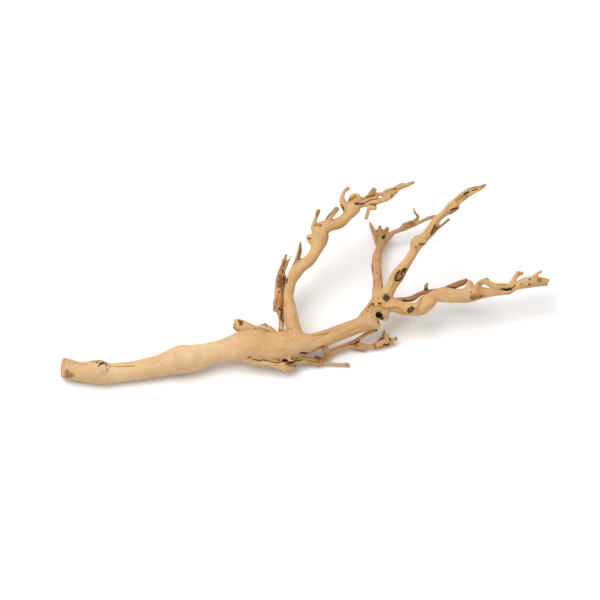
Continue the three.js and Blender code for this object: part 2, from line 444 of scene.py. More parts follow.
class Flow:
    """A socket of a material's nodes, with which sums are written out as they are read."""

    def __init__(self, tree, socket):
        self.tree, self.socket = tree, socket

    def sum(self, operation, other):
        vector = self.socket.type == "VECTOR"
        node = self.tree.nodes.new("ShaderNodeVectorMath" if vector else "ShaderNodeMath")
        node.operation = operation
        self.tree.links.new(self.socket, node.inputs[0])
        if isinstance(other, Flow):
            self.tree.links.new(other.socket, node.inputs[1])
        else:
            node.inputs[1].default_value = other
        return Flow(self.tree, node.outputs[0])

    def __add__(self, other):
        return self.sum("ADD", other)

    def __mul__(self, other):
        return self.sum("MULTIPLY", other)

    __radd__, __rmul__ = __add__, __mul__


class Finish:
    """A material under construction: its nodes, each made with its settings and its inputs."""

    def __init__(self, name, **constants):
        self.material = bpy.data.materials.new(name)
        self.material.use_nodes = True
        self.tree = self.material.node_tree
        self.shader = self.tree.nodes["Principled BSDF"]
        for socket, value in constants.items():
            self.shader.inputs[socket.replace("_", " ")].default_value = value

    def node(self, kind, settings=(), output=None, **sockets):
        node = self.tree.nodes.new("ShaderNode" + kind)
        for setting, value in dict(settings).items():
            setattr(node, setting, value)
        for name, value in sockets.items():
            name = name.replace("_", " ")
            socket = next(part for part in node.inputs if part.name == name and part.enabled)
            if isinstance(value, Flow):
                self.tree.links.new(value.socket, socket)
            elif socket.type == "RGBA":
                socket.default_value = (*value, 1)
            else:
                socket.default_value = value
        found = next(
            part for part in node.outputs if part.enabled and output in (None, part.name)
        )
        return Flow(self.tree, found)

    def field(self, name, output="Fac"):
        return self.node("Attribute", {"attribute_name": name}, output)

    def here(self):
        return self.node("TexCoord", output="Object")

    def cloud(self, at, scale, detail=2.0, **more):
        """Soft noise of so many patches to a metre, or to a unit of the place it is given."""
        return self.node("TexNoise", Vector=at, Scale=scale, Detail=detail, output="Fac", **more)

    def spread(self, value, start, end, low=0.0, high=1.0):
        """The part of a value's range from a start to an end, spread from low to high."""
        return self.node(
            "MapRange", Value=value, From_Min=start, From_Max=end, To_Min=low, To_Max=high
        )

    def mix(self, share, one, other):
        settings = {"data_type": "RGBA"}
        return self.node("Mix", settings, Factor=share, A=one, B=other)

    def layer(self, base, *layers):
        """Lays colours over a base, one after another, each as strongly as its share."""
        for share, colour in layers:
            base = self.mix(share, base, colour)
        return base

    def feed(self, **sockets):
        for name, value in sockets.items():
            self.tree.links.new(value.socket, self.shader.inputs[name.replace("_", " ")])
        return self.material


def tone(red, green, blue):
    """A colour given as it is seen on a screen, from 0 to 255, as the light that it reflects."""
    return tuple(
        (part / 12.92 if part <= 0.04045 else ((part + 0.055) / 1.055) ** 2.4)
        for part in (red / 255, green / 255, blue / 255)
    )


def bare_wood(name):
    """Dry wood with no bark: browner in its grain, with dark knots, painted shade in hollows and
    painted highlight on bulges.

    Its age runs from the pale trunk, at zero, by the tan limbs, at 0.4, to dead brown twigs.
    """
    finish = Finish(name, IOR=1.45, Specular_IOR_Level=0.25)
    age = finish.field("age")
    old = finish.spread(age, 0.4, 1.0)
    tan = finish.spread(age, 0.0, 0.4)

    def aged(trunk, limb, twig):
        return finish.mix(old, finish.mix(tan, tone(*trunk), tone(*limb)), tone(*twig))

    pale = aged((224, 193, 146), (217, 179, 124), (188, 138, 84))
    mid = aged((213, 176, 124), (201, 159, 102), (168, 118, 70))
    rosy = aged((208, 169, 134), (201, 155, 112), (168, 115, 73))
    grain_and_shade = aged((160, 118, 74), (140, 98, 54), (98, 64, 36))
    here, grain = finish.here(), finish.field("grain", "Vector")
    curvature_shading, dark = finish.field("curvature_shading"), finish.field("dark")
    blotch = finish.cloud(here, 22.0, 3.0, Roughness=0.55)
    patch = finish.cloud(here, 70.0, 4.0, Roughness=0.6)
    fibre = finish.cloud(grain * (0.8, 0.8, 0.04), 1.0, 4.0, Roughness=0.62, Distortion=0.4)
    thread = finish.cloud(grain * (2.4, 2.4, 0.14), 1.0)
    ragged = finish.spread(finish.cloud(here, 900.0), 0.3, 0.7, low=0.7)
    base = finish.layer(
        pale,
        (finish.spread(blotch, 0.36, 0.64), mid),
        (finish.spread(patch, 0.4, 0.68, high=0.85), rosy),
        (finish.spread(fibre, 0.47, 0.68, high=0.38), grain_and_shade),
        (finish.spread(thread, 0.52, 0.75, high=0.2), grain_and_shade),
        (finish.spread(finish.field("furrow"), -0.03, -0.3, high=0.8), grain_and_shade),
        # Painted shade in the hollows, and a painted highlight on the bulges.
        (finish.spread(curvature_shading, 0.04, 0.45, high=0.85), grain_and_shade),
        (finish.spread(curvature_shading, -0.03, -0.35, high=0.35), pale),
        (finish.field("pink") * ragged, tone(214, 165, 122)),
        (finish.field("grey") * ragged, tone(190, 174, 146)),
        (finish.field("brown") * ragged, tone(132, 90, 52)),
        (finish.field("amber") * ragged, tone(186, 124, 46)),
        (finish.spread(dark * ragged, 0.0, 0.8), tone(52, 35, 20)),
        (finish.spread(dark, 0.8, 1.0), tone(24, 16, 10)),
    )
    rough = finish.spread(fibre + 0.4 * dark, 0.3, 0.9, 0.6, 0.85)
    height = 0.6 * fibre + 0.35 * thread + 0.25 * patch
    bump = finish.node("Bump", Height=height, Strength=0.8, Distance=0.0006)
    return finish.feed(Base_Color=base, Roughness=rough, Normal=bump)


def sawn_wood(name):
    """The sawn end: growth rings round the heart, crossed by the marks of the saw."""
    finish = Finish(name, IOR=1.45, Specular_IOR_Level=0.25)
    here = finish.here()
    heart = LAID_DOWN @ Vector((2, 0, 0))
    placed = finish.node("Mapping", Vector=here, Location=tuple(-heart))
    rings = finish.node(
        "TexWave", {"wave_type": "RINGS", "rings_direction": "X"}, Vector=placed, Scale=260.0,
        Distortion=1.6, Detail=3.0, Detail_Scale=0.6, output="Fac",
    )
    saw = finish.cloud(here * (300.0, 2400.0, 500.0), 1.0)
    blotch = finish.cloud(here, 160.0, 4.0)
    base = finish.layer(
        tone(208, 164, 122),
        (rings * 0.45, tone(180, 134, 96)),
        (finish.spread(blotch, 0.45, 0.75, high=0.6), tone(176, 130, 96)),
        (saw * 0.25, tone(226, 188, 146)),
    )
    rough = finish.spread(saw, 0.0, 1.0, 0.75, 0.95)
    bump = finish.node("Bump", Height=saw + 0.3 * rings, Strength=0.4, Distance=0.0003)
    return finish.feed(Base_Color=base, Roughness=rough, Normal=bump)


SAWN = sawn_wood("sawn_wood")

trunk_run = Run(11, [
    [-12, 2, 0, 12], [4, -0.5, 0, 12], [22, -4, 0, 12], [43, -5, 0.5, 14.2], [57, -6.5, 0, 12.2],
    [72, -5, -1, 11.8], [94, -2, -2, 12], [118, 3, -3, 13.5], [141, 10, -3, 17.2],
    [157, 12, -3, 16.2], [177, 17, -3, 13.4], [197, 22, -3, 14], [214, 26, -3, 17.4],
    [230, 27, -3, 19], [246, 26, -4, 17.6], [264, 27, -4, 17.2], [282, 28.6, -5, 15.4],
    [298, 29.3, -6, 11.7], [313, 34.4, -7, 10.5], [330, 41.2, -8, 9.9], [346, 47.2, -9, 9.7],
    [358.6, 52, -10, 10], [368, 60, -11, 11.8], [375.6, 68.8, -11, 12], [382, 79, -11, 11],
    [386, 86, -11, 7],
], aged=0)
knuckle = Run(12, [[240, 34, -8, 10], [230, 41.6, -12, 9.3], [220, 47.4, -14, 8.4],
                   [211.4, 51.4, -16, 8.1], [206, 53, -16, 5.8]], trunk_run)
knuckle_lump = Run(13, [[233, 36, -9, 9], [241, 43.6, -12, 9.4], [247.6, 43, -12, 7.6],
                        [255, 37, -9, 6.6]], trunk_run)
lump_thorn = Run(14, [[242, 47, -12, 5], [243.4, 53, -12, 2], [244, 55.6, -12, 1]], trunk_run)
lump_tooth = Run(24, [[238, 46, -12, 4], [239.4, 51, -12, 2], [239.6, 53.8, -12, 1]], trunk_run)
under_slab = Run(15, [
    [214, 14, -1, 5], [224, 9.4, 0, 5], [236, 8.4, 1, 4.5], [248, 6.6, 1, 4.5], [259, 3.4, 0, 4.8],
    [265, 0.4, -1, 4.4], [270, -4.6, -2, 1.9],
], trunk_run)
slab_splinters = offshoots(16, trunk_run, [
    [[258, 3, 0, 4.4], [267, 2, -1, 3.4], [273.6, -0.6, -1, 2.4], [276, -2, -1, 1.6]],
    [[262, 8, -1, 4.4], [271, 5, -1, 2.6], [277, 3.4, -1, 2.6], [281.4, 2, -1, 1.6]],
    [[270, 12, 0, 5], [276, 10.6, 3, 3.2], [277.6, 10.8, 5, 2.2]],
    [[272, 15, -2, 6], [280, 9, -5, 4], [288, 7.4, -8, 3.4], [294, 7, -10, 3]],
], step=1)

# Each limb's seed and age, the station at which it is parted from the trunk, and the first of
# its stations, which the trunk has too.
ROOTS = {
    "left_limb": (21, 0.4, 3, [[281, 33, -3, 11], [277.6, 46, -4, 9.3], [275.4, 56, -6, 8.6],
                               [273.8, 65, -8, 8], [272.8, 76, -11, 7.2], [271.6, 87, -14, 6.3]]),
    "split_spur": (31, 0.85, 2, [[266, 32, -8, 6], [263.4, 43, -11, 3.8], [263.2, 50, -14, 3],
                                 [263.6, 57, -17, 3.4], [262.4, 64, -19, 4]]),
    "back_limb": (41, 0.75, 2, [[379, 72, -12, 9], [380, 84, -16, 8.2], [380, 94, -24, 7],
                               [380.6, 106, -36, 6.4], [380.2, 116, -48, 6.5]]),
    "centre_limb": (51, 0.4, 2, [[381, 72, -10, 10], [387, 84, -9, 9.6], [394.6, 97, -7, 7.4],
                                 [402.6, 110, -4, 8.7], [408.6, 119, -1, 7.1]]),
    "right_limb": (61, 0.4, 3, [[384, 72, -11, 10], [393, 76, -10, 9.4], [402, 74.4, -10, 8.3],
                                [411, 71.6, -10, 8.3], [421, 70.6, -10, 8.6],
                                [430.6, 71.8, -10, 9]]),
    "right_back_twig": (71, 0.95, 2, [[386, 76, -12, 6], [398, 80.4, -17, 3.7], [408, 82, -21, 2.6],
                                      [415, 82, -24, 3], [422.4, 83.5, -26, 3.5]]),
}


def root(name, further=()):
    """The run of a limb from its fork, with the station at which it is sawn off noted on it."""
    seed, aged, station, stations = ROOTS[name]
    run = Run(seed, [*stations, *further], trunk_run, aged)
    run.saw = run.stations[station]
    return run


def saw_line(run):
    """The cut that takes a limb off: its middle, its direction, and how far it reaches."""
    return run.place[run.saw], run.ahead[run.saw], SAW_REACH * run.thick[run.saw]


stumps = {name: root(name) for name in ROOTS}
crown_lobe = Run(25, [[384, 68, -10, 7], [387, 62.6, -6, 6.2], [387.6, 61.2, -2, 5.4]], trunk_run)
crown_corner = Run(26, [
    [362, 53, -9, 10], [371, 54, -7, 8.4], [377, 52, -6, 6], [382, 51, -6, 3.2],
], trunk_run)
TRUNK_RUNS = [
    trunk_run, knuckle, knuckle_lump, lump_thorn, lump_tooth, under_slab, *slab_splinters,
    crown_lobe, crown_corner,
]
trunk = Wood([*TRUNK_RUNS, *stumps.values()], voxel=TRUNK_VOXEL)

# Knots, cracks, scars and stains, from the butt to the burl, in the columns of Wood.marks.
trunk.marks(
    (1.6, 1.2, 0.9, 1, (45.8, 4.9), (49.2, 5.9)),
    (0.8, 0.6, 0.7, 0.8, (46.4, 4.8), (43.6, 1.8)),
    (1.6, 0.8, 0.5, 0.9, (42, 6.5)),
    (0.9, 0.5, 0.35, 0.9, (49, 6.4), (54, 3)),
    (3, 0, 0, 0.75, (38, 8.2), (46, 8.6), (52, 5.5), dict(swell=0.8)),
    (3.6, 0.35, 0, 0, (48, -2.6), (52.4, -2), dict(swell=1.6, pink=0.6, ring=0.9)),
    (6.8, 0.7, 0, 0, (51.4, -2.4), dict(grey=0.25, ring=1, rough=0.2)),
    (0.8, 0.9, 0.8, 0, (54.4, -1.4), (54.4, -2.6)),
    (0.7, 0.4, 0.2, 0.7, (57, 1.8), (60.6, 1.8)),
    (0.8, 0.6, 0.2, 0.4, (63.8, 1.8), (86.9, 2.4), dict(amber=0.9)),
    (0.8, 0.4, 0, 0.55, (5.6, 8.6), (15, 6.6), (31, 3.4)),
    (2.8, 0.3, 0, 0.9, (5.6, -4.6), (6, -9), (11.4, -9), (5.8, -11), dict(pink=0.5, rough=0.5)),
    (0.9, 0, 0.4, 0.6, (3.4, -11.4), (6, -12)),
    (1.2, 0, 0, 0.7, (3.6, 9.8), (4.6, 11)),
    (8, 0, 0, 0.1, (6, 1), (26, -3), (42, -7), dict(pink=0.35, rough=0.6)),
    (1.6, 0, 0, 0, (38, -16), (48, -17), dict(amber=0.35, rough=0.6)),
    (5, 0, 0, 0, (212, 12), (226, 15), (242, 14), (262, 13), dict(pink=0.45, rough=0.6)),
    (5, 0, 0, 0, (200, 26), (216, 28), dict(pink=0.35, rough=0.6)),
    (5, 0, 0, 0, (130, 0), (160, 4), (190, 12), dict(pink=0.3, rough=0.6)),
    (7, 0, 0, 0, (276, 22), (290, 26), (300, 26), dict(grey=0.3, pink=0.3, rough=0.6)),
    (1.4, 0.6, 0.2, 1, (223.6, 12), (226.2, 13.4), dict(amber=0.4)),
    (1, 0.6, 0.7, 0.8, (222.4, 5.6)),
    (0.6, 0.3, 0, 0.45, (224.6, 7), (229.6, 10.4)),
    (0.9, 1, 0.15, 1, (229.6, 10.6), (236.4, 8.4), (241, 9.6), (251.2, 7.7), (258.7, 6.2),
     (265.5, 8)),
    (1.5, 2, 0.95, 1, (265.8, 8.8), (269.4, 8.8), dict(rough=0.4)),
    (1.2, 1.5, 0.7, 1, (269.4, 7.6), (273.6, 6), (276.6, 6.8)),
    (1.8, 0.8, 0.1, 1, (270.6, 4.6), (275, 3), (280.4, 2.6), dict(rough=0.6)),
    (0.6, 0.5, 0.6, 0, (270, 5.2), (274.6, 4.4), (281, 3.8), (280.6, 1.6)),
    (1.8, 0.7, 0.5, 1, (276.6, 11.4), dict(swell=0.6, ring=0.4)),
    (0.9, 0.9, 0.6, 1, (276.4, 6.8), (280.4, 8.7), (287.4, 9.4)),
    (0.8, 0.8, 0.5, 1, (280.7, 11.2), (284.4, 11.8), (288.6, 14.6)),
    (1.7, 0.5, 0, 0.8, (285.6, 16.8), dict(swell=0.7, ring=0.9)),
    (2, 2, 0.9, 1, (287.8, 18), (291, 17.3), (295, 16)),
    (2, 0.5, 0, 0.75, (296, 17.5), (304, 21), (312.4, 26)),
    (2.6, 0, 0, 0.7, (312, 25), dict(swell=1.2)),
    (0.9, 0.8, 0.55, 1, (309.6, 25.2), (314, 26.4), (318.6, 26)),
    (0.8, 0.7, 0.7, 0, (311, 23.4), (313.4, 22)),
    (1.2, 0.7, 0, 0.55, (231, 47.8), (239.4, 47.8), (249.6, 43.4), (258, 43.8)),
    (1.2, 0, 0.2, 0.85, (239.5, 52)),
    (1.4, 0, 0.25, 0.9, (243.4, 53.4), (245.6, 51)),
    (0.9, 0.3, 0, 0.45, (270.6, 47.2), (276.4, 47.7)),
    (0.9, 0.8, 0.75, 1, (260.6, 49), (260.6, 45.4), (264, 45)),
    (2.1, 1, 0.6, 1, (212.4, 56.8), (215, 56), (214.6, 53)),
    (0.9, 0.8, 0.9, 0, (213.4, 55.6), (214.2, 53.8)),
    (0.9, 0.5, 0.4, 0.9, (207.6, 52.4)),
    (1.6, 0.3, 0, 0.5, (205.4, 49.4), (207.6, 46.4), (211, 44.4), dict(pink=0.6)),
    # The hole in the burl: a dent painted black, painted shade that stands for the depth of the
    # hole.
    (3.6, 3.5, 1, 0, (379.8, 63.8), (382.6, 61.4), dict(rough=0.1)),
    (3.2, 0, 1, 0, (381, 62), (383.6, 59.6), dict(rough=0.1)),
    (1.5, 0, 0, 0.4, (377, 67.8), (381.4, 68.2), dict(grey=0.4)),
    (3, 0, 0, 0.25, (385, 65), (388.4, 62), (388, 59), dict(grey=0.45, rough=0.6)),
    (1.4, 2, 0.3, 0.6, (381, 56), (380, 54.4)),
    (3.4, 0.7, 0.9, 1, (389.2, 84.3), dict(swell=0.5, ring=0.3, rough=0.25)),
    (1.3, 0.8, 0.8, 0.8, (380, 77.6), (382.4, 77)),
    (1.1, 0.7, 0.8, 0.8, (367.8, 73.4), (369.2, 75.8), (371.4, 77.4), (373.4, 76.4), (373.6, 74.6)),
    (1.6, 0, 0, 0.3, (371.6, 74.6), dict(swell=0.7)),
    (1.1, 0.4, 0, 0, (379.6, 84.8), (379.8, 82.6), dict(amber=0.9)),
    (1.4, 0.5, 0.3, 0, (366.4, 68.6), dict(amber=0.8)),
    (1, 0.3, 0, 0, (362.4, 70.6), (365.4, 69), dict(amber=0.6)),
    (1.4, 0.4, 0, 0.6, (360, 64.4)),
    (6, 0, 0, 0, (356, 58), (366, 57), (374, 54), dict(grey=0.4, rough=0.7)),
    (0.6, 0.7, 0, 0.7, (374.6, 85.6), (379, 88.6)),
    (0.6, 0.3, 0, 0.35, (391, 88.6), (396, 95)),
    (4, 0, 0, 0, (383, 80), (396, 78), (404, 79), dict(pink=0.25, rough=0.7)),
)


def crown_groove(wood):
    """The groove between two ridges that winds over the burl and out along the right limb."""
    groove = [(371.5, 67), (373.4, 71.6), (377, 74), (381.4, 73.8), (388, 70.6), (393.7, 71.2),
              (401, 72.6), (404, 71.8), (408, 68.6), (412, 64.6)]
    for side in (-2.4, 2.4):
        wood.mark([(x, y + side) for x, y in groove], 1.5, swell=0.7)
    wood.mark(groove, 1.7, sink=0.7, amber=0.75, rough=0.2)


crown_groove(trunk)
trunk.knots_behind(26, 3)
trunk.weather(
    ridges=[(0, 0.1), (255, 0.12), (300, 0.16), (325, 0.42), (365, 0.5), (388, 0.22), (440, 0.18)],
    lumps=[(0, 0.3), (200, 0.4), (300, 0.55), (400, 0.45)],
)

# The cut at the butt: its middle, its direction, and how far it reaches. What is kept is the
# wood round a place of the trunk's run past that cut.
BUTT_SAW = (1, 0, 0), (-1, 0.105, 0.37), 22
PAST_THE_BUTT = 24
trunk.finish(
    "trunk", bare_wood("trunk_wood"), "trunk_wood",
    cuts=[BUTT_SAW, *(saw_line(stump) for stump in stumps.values())], start=PAST_THE_BUTT,
)


# ---------------------------------------------------------------------------------------------
# The left limb: it springs from the middle of the trunk, crooks twice and ends in two strands
# that have grown together round a hole. Broken spurs stand on it. Bare pale wood, as the trunk.
LIMB_WOOD = bare_wood("limb_wood")


def grow(name, seed, further, branches, beside):
    """The wood of a limb from its fork on, with its branches and the stumps it stands beside."""
    run = root(name, further)
    stubs = [stumps[other] for other in beside]
    return Wood([run, *offshoots(seed, run, branches)], [*TRUNK_RUNS, *stubs], run)


left_line = [
    [273.4, 97, -16, 6.3], [276.4, 107, -18, 6.8], [284.4, 120.6, -19, 8.8],
    [296.4, 129.2, -20, 7.4], [303.6, 139.4, -20, 6.9], [308.8, 153, -21, 9.9],
    [311.4, 166, -21, 10.4], [321.4, 172, -21, 8.2], [333.4, 174.8, -22, 6.9],
    [343.2, 183.6, -22, 6.2], [351, 194.8, -23, 9.3], [356, 199, -23, 6],
]
left_strands = [
    [[350, 197, -23, 6], [364, 203.8, -24, 4], [376.4, 208.6, -24, 4], [383.4, 210.4, -25, 2.4],
     [389, 210.4, -25, 4.6], [397.6, 213.6, -26, 4.6], [403.4, 217, -26, 3.6],
     [409.6, 220.4, -26, 3.3], [413.4, 220.4, -26, 2.6], [418.6, 222.8, -26, 2.9],
     [424.6, 225, -26, 2.6]],
    [[350, 196, -23, 6], [362, 199, -24, 4.6], [371, 201, -24, 4.4], [378.4, 201.6, -24, 4.3],
     [384.4, 202.6, -25, 2.6], [390.4, 205.8, -25, 3.9], [397.6, 210.6, -26, 3.7],
     [403.4, 215, -26, 3]],
]
left_spurs = [
    [[281, 121, -17, 6], [282.6, 131, -14, 3.7], [285.4, 142, -12, 2.7], [286.2, 152, -12, 1.9]],
    [[303.2, 166, -19, 5.2], [303.4, 176, -18, 3.2], [305.6, 183, -17, 2.9],
     [308, 190.6, -17, 2.6]],
    [[315, 171, -19, 4], [320.6, 180.4, -17, 3.2], [326, 187, -16, 3.1], [331, 193, -16, 2.8]],
    [[344, 190, -21, 5], [338, 199, -20, 4.4], [337, 206, -19, 3.4], [339.6, 213, -19, 2.7],
     [344.8, 217.8, -19, 2.1]],
    [[345.6, 200, -18, 3.2], [348.6, 206.2, -17, 3.1], [352.8, 208, -17, 3],
     [356.8, 205.4, -18, 3.2], [359, 200, -21, 3.4]],
    [[346, 197, -22, 5], [350, 201.4, -21, 4.6], [355, 203, -21, 4]],
    [[364, 203.4, -22, 3.4], [369.6, 209.6, -20, 2.7], [375.8, 217.6, -19, 2.2]],
    [[370, 208, -20, 2.6], [377, 214, -19, 1.6], [378.6, 216.4, -19, 1.2]],
    [[369.6, 199, -23, 3], [369, 191.6, -22, 1.9], [367.2, 186, -21, 1.7],
     [365.8, 180.4, -21, 2.1]],
    [[370, 198, -24, 3.6], [374, 193.6, -24, 3.3], [378, 194.4, -24, 2.6]],
    [[303, 154, -20, 6], [296.6, 158, -20, 3.4], [293.6, 157, -20, 1.8]],
    [[303, 150, -20, 5], [298.4, 152.6, -20, 3], [294, 153, -20, 1.6]],
    [[288, 128.6, -18, 6.8], [292.8, 126, -17.6, 7], [297.8, 124.6, -17, 5]],
]
left_limb = grow("left_limb", 200, left_line, [*left_strands, *left_spurs], ["split_spur"])
left_limb.marks(
    (1.9, 0.7, 0.25, 1, (287.4, 149), (286, 140), (283.6, 131)),
    (0.9, 0.6, 0, 0.9, (277, 123.6), (281, 128.6)),
    (1.8, 0.6, 0.6, 1, (269.6, 106), (269.2, 103)),
    (1.5, 1.2, 0.9, 1, (309.7, 171.1)),
    (1.4, 0.4, 0, 0.6, (303, 171.5), (307, 172)),
    (2, 0, 0, 0.8, (308, 189), (306, 184)),
    (1, 0.8, 0.8, 0, (317, 179), (322, 184.5)),
    (2.5, 0, 0, 0.65, (324, 187), (332, 193)),
    (1.2, 0.6, 0.75, 0.9, (335.2, 195.2), (337.2, 192), (338.6, 188)),
    (2, 0, 0, 0.35, (338, 212), (344.5, 217.6)),
    (2.2, 1.2, 0, 0, (347, 203), (351.8, 205.6), dict(amber=1)),
    (1.4, 1, 0.85, 1, (345.4, 201.6)),
    (2.6, 0, 0, 0.7, (374, 216), (368, 210)),
    (1.4, 0, 0, 0.7, (377.4, 213), (372, 211)),
    (2.1, 0.9, 0, 0, (361.6, 203.4), (368, 204.8), (375.4, 207.2), dict(amber=1)),
    (1.2, 0.9, 0.4, 0.8, (365.2, 204.2), (373.4, 206.9)),
    (1.6, 0.8, 0, 0.3, (388.4, 211.4), (399.6, 214.8), dict(amber=0.7)),
    (1.3, 0.6, 0.35, 0.8, (398.6, 214.4), (400.4, 215)),
    (1.4, 1.4, 0.9, 1, (352.4, 197.2), (355.4, 197.2)),
    (1, 1.1, 0.6, 1, (355, 197), (361.2, 196.8)),
    (0.8, 0.9, 0.15, 1, (361.2, 196.9), (365, 198.8), (370, 201.6), (378.6, 203)),
    (1, 0.7, 0.3, 0.8, (369.4, 196.6), (375.6, 195.8), dict(amber=0.7)),
    (1, 0.9, 0.95, 0, (376, 194.6)),
    (2.6, 0, 0, 0, (370, 192.4), (376, 192), dict(pink=0.6)),
    (1.8, 0, 0, 0.3, (367, 190), (365.4, 181), dict(pink=0.5)),
    (3, 0, 0, 0, (334, 204), (337, 212), dict(pink=0.25)),
    (3, 0, 0, 0, (352, 208), (357, 203), (364, 200), dict(pink=0.45)),
    (1.8, 0.5, 0, 0.9, (395.8, 206.4), dict(swell=0.7, amber=0.3)),
    (0.7, 0.4, 0.6, 0, (394.6, 209.4)),
    (4, 0, 0, 0.2, (404, 218.5), (420, 222.6), dict(grey=0.45)),
    (1.4, 0, 0, 0.5, (419, 222.6), (423, 224)),
    (0.7, 0.3, 0, 0.3, (273, 92), (277, 93)),
    (0.7, 0.3, 0, 0.5, (267, 74), (270, 78)),
    (0.9, 0.6, 0.6, 1, (294, 155.4), (298, 155)),
)
left_limb.knots_behind(16, 4)
left_limb.weather(ridges=[(0, 0.15)], lumps=[(0, 0.95)])
left_limb.finish("left_limb", LIMB_WOOD, "limb_wood")


# ---------------------------------------------------------------------------------------------
# The split spur: a dead branchlet beside the left limb, rotten through the middle and torn into
# splinters at its tip. Older wood than the limbs, browner, with amber where it split.
WORN_WOOD = bare_wood("weathered_wood")

spur_line = [
    [259.8, 73, -21, 5.8], [260.4, 83, -23, 6.1], [260.8, 94, -24, 5.9], [262.8, 106, -26, 7],
    [263, 115, -26, 4.8], [265.2, 123, -26, 3.8],
]
spur_splinters = [
    [[262.6, 116, -26, 3.4], [264, 125, -25, 2.1], [265, 132, -25, 1.3]],
    [[264, 118, -26, 3.4], [266.8, 129, -26, 2.3], [268.8, 137.4, -26, 1.3]],
    [[266, 119, -26, 3], [271, 128, -27, 2], [275.4, 136, -27, 1.3]],
    [[259, 81, -22, 4.4], [254.4, 78, -21, 2.6], [252.4, 76.6, -21, 1.5]],
    [[258, 76, -22, 4.4], [255.4, 72, -21, 3], [251.8, 68.9, -21, 1.3]],
    [[259, 70, -22, 4.2], [256, 67.6, -21, 1.8], [253.4, 68.4, -21, 1.4]],
]
split_spur = grow("split_spur", 300, spur_line, spur_splinters, ["left_limb"])
split_spur.marks(
    (1, 1, 0.85, 0, (264.6, 114), (264.6, 117.6)),
    (3.3, 0.8, 0.35, 1, (262.4, 108.6), (261.4, 103), (262, 98.6), dict(rough=0.7)),
    (1.9, 1, 0.7, 1, (266.6, 108), (267.4, 104.4), (266.6, 101.6), dict(rough=0.6)),
    (2, 0, 0, 0, (256.6, 95), (256.8, 84), dict(pink=0.7)),
    (2, 0, 0, 0, (260, 94.6), (259.6, 86), dict(pink=0.7)),
    (1.1, 0.8, 0, 0, (264.8, 97), (264.7, 86), dict(amber=1)),
    (1.9, 0.7, 0, 0, (262, 83), (262.8, 74), (264.6, 80), (264.8, 73), dict(amber=0.9)),
    (0.9, 0.9, 0.5, 1, (259.8, 90.2), (261.4, 92.2)),
    (0.7, 0.7, 0.2, 1, (259.8, 87.4), (257.8, 83), (257.6, 76)),
    (1.5, 1.1, 0.6, 1, (261, 70.8), (264.8, 69.8)),
    (1.3, 1.2, 0.7, 1, (264, 67), (263.2, 62), (263, 58.6), (265, 56.2), dict(rough=0.5)),
    (0.9, 0.6, 0.7, 1, (260.9, 54), (260.7, 49.6)),
    (1, 0.9, 0.6, 1, (253.6, 75.8), (255, 72.6)),
    (1.6, 0, 0, 0, (252.6, 69), (257, 67), dict(pink=0.9)),
    (0.8, 0.8, 0.5, 0.9, (267.6, 128), (266.2, 121.6)),
    (3, 0, 0, 0.4, (259, 112), (263, 123)),
    (1.4, 0, 0, 0.8, (268, 137), (275, 135)),
)
split_spur.knots_behind(7, 5)
split_spur.weather(ridges=[(0, 0.35)], lumps=[(0, 0.8)])
split_spur.finish("split_spur", WORN_WOOD, "weathered_wood")


# ---------------------------------------------------------------------------------------------
# The back limb: it leaves the burl away from the other limbs and reaches down behind them to
# the ground, where it frays into broken twigs. Thin, dull, pinkish wood with few knots.
back_line = [
    [380, 124, -58, 6.5], [381.4, 135, -71, 5.3], [385, 145, -82, 4.6], [387.6, 154, -92, 6.2],
    [387.6, 165, -104, 5.4], [387.4, 170, -110, 4.4],
]
back_twigs = [
    [[384, 153, -90, 4.6], [380, 164, -103, 2.9], [376.6, 173, -110, 2.5],
     [374.2, 180.6, -117, 1.8]],
    [[388, 158, -96, 4.6], [393, 166, -103, 3.4], [396.4, 173, -109, 2.3]],
    [[387, 154, -91, 6], [395.4, 160.8, -92, 5.2], [404, 166.6, -92, 3.4], [411.6, 169.8, -90, 3.1],
     [418, 174, -88, 4.3], [424.4, 175.8, -86, 4.2], [430, 177, -85, 2.9],
     [436.4, 179.6, -84, 2.2], [442.6, 182.6, -83, 2.2], [447.6, 184.4, -82, 2.5],
     [455.4, 186.4, -81, 1.9]],
    [[423, 177, -86, 3.8], [429.6, 180.8, -85, 2.5], [433.4, 185.8, -84, 2.3],
     [429.4, 190.4, -83, 1.7], [427.4, 196.2, -83, 1.3]],
    [[386, 163, -104, 4.4], [386.6, 170.6, -110, 3.2], [386.6, 176, -113, 2.5]],
    [[382, 163, -103, 3], [382.4, 170, -109, 1.7]],
]
back_limb = grow(
    "back_limb", 400, back_line, back_twigs, ["centre_limb", "right_limb", "right_back_twig"]
)
